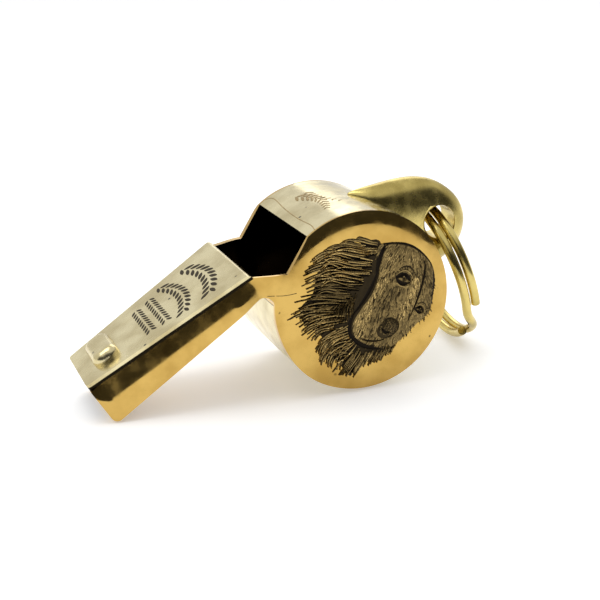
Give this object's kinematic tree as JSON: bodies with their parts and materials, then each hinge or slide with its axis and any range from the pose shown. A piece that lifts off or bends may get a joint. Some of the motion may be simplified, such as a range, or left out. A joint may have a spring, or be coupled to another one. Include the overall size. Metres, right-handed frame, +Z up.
{
  "type": "training whistle",
  "caption": "Brass pea whistle for dog training: round drum with a cork pea, tapered mouthpiece, cast lug and split ring.",
  "frame": {"origin": "on the table, under the middle of the whole object's box", "axes": "+X from the mouthpiece's tip to the drum, +Y across the drum from the engraved side to the plain side, +Z up as it rests"},
  "size_m": [0.05, 0.0224, 0.0224],
  "materials": {
    "polished_brass": "polished sheet with fine pits",
    "engraved_brass": "polished sheet, dog head in relief with dark patina",
    "cast_brass": "polished casting, softly uneven",
    "brass_wire": "drawn wire, lightly tarnished",
    "cork": "dry cork, matt"
  },
  "bodies": {
    "whistle": {"barrel_wrap": "polished_brass", "near_side_plate": "engraved_brass", "far_side_plate": "polished_brass", "mouthpiece_roof": "polished_brass", "mouthpiece_floor": "polished_brass", "suspension_lug": "cast_brass"},
    "ring": {"split_ring": "brass_wire"},
    "pea": {"cork_pea": "cork"}
  },
  "joints": [
    {"name": "ring_swing", "type": "hinge", "parent": "whistle", "child": "ring", "pos_m": [0.01921, -0.00232, 0.01668], "axis": [0, 1, 0], "range_deg": [-215, 18]},
    {"name": "pea_orbit", "type": "hinge", "parent": "whistle", "child": "pea", "pos_m": [0.00643, -0.00232, 0.0105], "axis": [0, 1, 0], "continuous": true}
  ]
}
